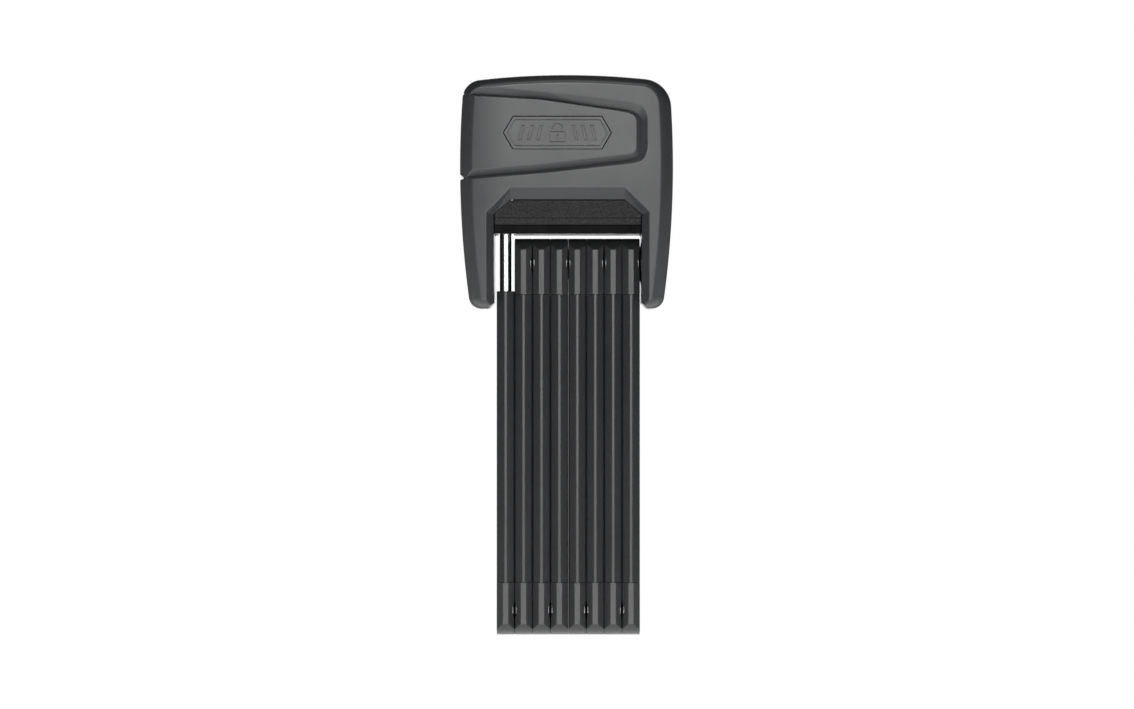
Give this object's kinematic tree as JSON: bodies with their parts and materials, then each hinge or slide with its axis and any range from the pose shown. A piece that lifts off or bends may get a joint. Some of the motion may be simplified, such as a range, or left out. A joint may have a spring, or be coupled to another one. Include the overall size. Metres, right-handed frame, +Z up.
{
  "type": "folding bike lock",
  "caption": "Folding bike lock: a chain of flat covered bars riveted end to end folds beside itself under a keyed plastic-shelled lock body with a steel tongue and deadbolt.",
  "frame": {"origin": "middle of the bounding box's underside, at the lower ends of the folded bars", "axes": "+Z up along the folded bars, -Y out of the lock body's front face, +X to the right seen from the front, towards the bar riveted to the body"},
  "size_m": [0.089, 0.042, 0.2345],
  "materials": {
    "housing": "satin dark charcoal moulding",
    "panel": "satin dark charcoal moulding",
    "trim": "leather-grained black moulding",
    "cap": "satin soft-edged moulding",
    "sleeve": "semi-gloss extruded cover",
    "link": "chromed hardened steel",
    "rivet": "bright turned steel",
    "case": "dark coated casting",
    "cylinder": "nickel-toned brass",
    "steel": "plain hardened steel",
    "shutter": "satin black moulding"
  },
  "bodies": {
    "lock_body": {"housing_front": "housing", "housing_rear": "housing", "front_panel": "panel", "grained_trim": "trim", "lock_case": "case", "hinge_plate": "steel", "cylinder_body": "cylinder", "cylinder_pin": "steel", "housing_screw_1": "steel", "housing_screw_2": "steel", "housing_screw_3": "steel", "housing_screw_4": "steel", "rivet_8_body": "rivet"},
    "bar_8": {"bar_8_lower_cap": "cap", "bar_8_sleeve": "sleeve", "bar_8_link": "link", "bar_8_upper_cap": "cap"},
    "bar_7": {"bar_7_lower_cap": "cap", "bar_7_sleeve": "sleeve", "bar_7_link": "link", "bar_7_upper_cap": "cap", "rivet_7_8": "rivet"},
    "bar_6": {"bar_6_lower_cap": "cap", "bar_6_sleeve": "sleeve", "bar_6_link": "link", "bar_6_upper_cap": "cap", "rivet_6_7": "rivet"},
    "bar_5": {"bar_5_lower_cap": "cap", "bar_5_sleeve": "sleeve", "bar_5_link": "link", "bar_5_upper_cap": "cap", "rivet_5_6": "rivet"},
    "bar_4": {"bar_4_lower_cap": "cap", "bar_4_sleeve": "sleeve", "bar_4_link": "link", "bar_4_upper_cap": "cap", "rivet_4_5": "rivet"},
    "bar_3": {"bar_3_lower_cap": "cap", "bar_3_sleeve": "sleeve", "bar_3_link": "link", "bar_3_upper_cap": "cap", "rivet_3_4": "rivet"},
    "bar_2": {"bar_2_lower_cap": "cap", "bar_2_sleeve": "sleeve", "bar_2_link": "link", "bar_2_upper_cap": "cap", "rivet_2_3": "rivet"},
    "bar_1": {"bar_1_lower_cap": "cap", "bar_1_sleeve": "sleeve", "bar_1_link": "link", "bar_1_tongue": "link", "rivet_1_2": "rivet"},
    "key_plug": {"key_plug": "cylinder", "cam": "cylinder"},
    "deadbolt": {"deadbolt": "steel"},
    "keyway_shutter": {"keyway_shutter": "shutter"}
  },
  "joints": [
    {"name": "bar_8_fold", "type": "hinge", "parent": "lock_body", "child": "bar_8", "pos_m": [0.02698, 0, 0.15575], "axis": [-1, 0, 0], "range_deg": [0, 90]},
    {"name": "bar_7_fold", "type": "hinge", "parent": "bar_8", "child": "bar_7", "pos_m": [0.01948, 0, 0.01075], "axis": [-1, 0, 0], "range_deg": [0, 180]},
    {"name": "bar_6_fold", "type": "hinge", "parent": "bar_7", "child": "bar_6", "pos_m": [0.01199, 0, 0.15575], "axis": [-1, 0, 0], "range_deg": [0, 90]},
    {"name": "bar_5_fold", "type": "hinge", "parent": "bar_6", "child": "bar_5", "pos_m": [0.00449, 0, 0.01075], "axis": [-1, 0, 0], "range_deg": [0, 180]},
    {"name": "bar_4_fold", "type": "hinge", "parent": "bar_5", "child": "bar_4", "pos_m": [-0.00301, 0, 0.15575], "axis": [-1, 0, 0], "range_deg": [0, 90]},
    {"name": "bar_3_fold", "type": "hinge", "parent": "bar_4", "child": "bar_3", "pos_m": [-0.01052, 0, 0.01075], "axis": [-1, 0, 0], "range_deg": [0, 180]},
    {"name": "bar_2_fold", "type": "hinge", "parent": "bar_3", "child": "bar_2", "pos_m": [-0.01801, 0, 0.15575], "axis": [-1, 0, 0], "range_deg": [0, 90]},
    {"name": "bar_1_fold", "type": "hinge", "parent": "bar_2", "child": "bar_1", "pos_m": [-0.02551, 0, 0.01075], "axis": [-1, 0, 0], "range_deg": [0, 180]},
    {"name": "key_turn", "type": "hinge", "parent": "lock_body", "child": "key_plug", "pos_m": [-0.0403, 0, 0.207], "axis": [1, 0, 0], "range_deg": [0, 90]},
    {"name": "deadbolt_slide", "type": "slide", "parent": "lock_body", "child": "deadbolt", "axis": [0, 1, 0], "range_m": [0, 0.0042]},
    {"name": "shutter_slide", "type": "slide", "parent": "lock_body", "child": "keyway_shutter", "axis": [0, 0, 1], "range_m": [0, 0.0096]}
  ],
  "couplings": [
    {"joint": "key_turn", "follows": "deadbolt_slide", "rad_per_m": 373.99}
  ]
}
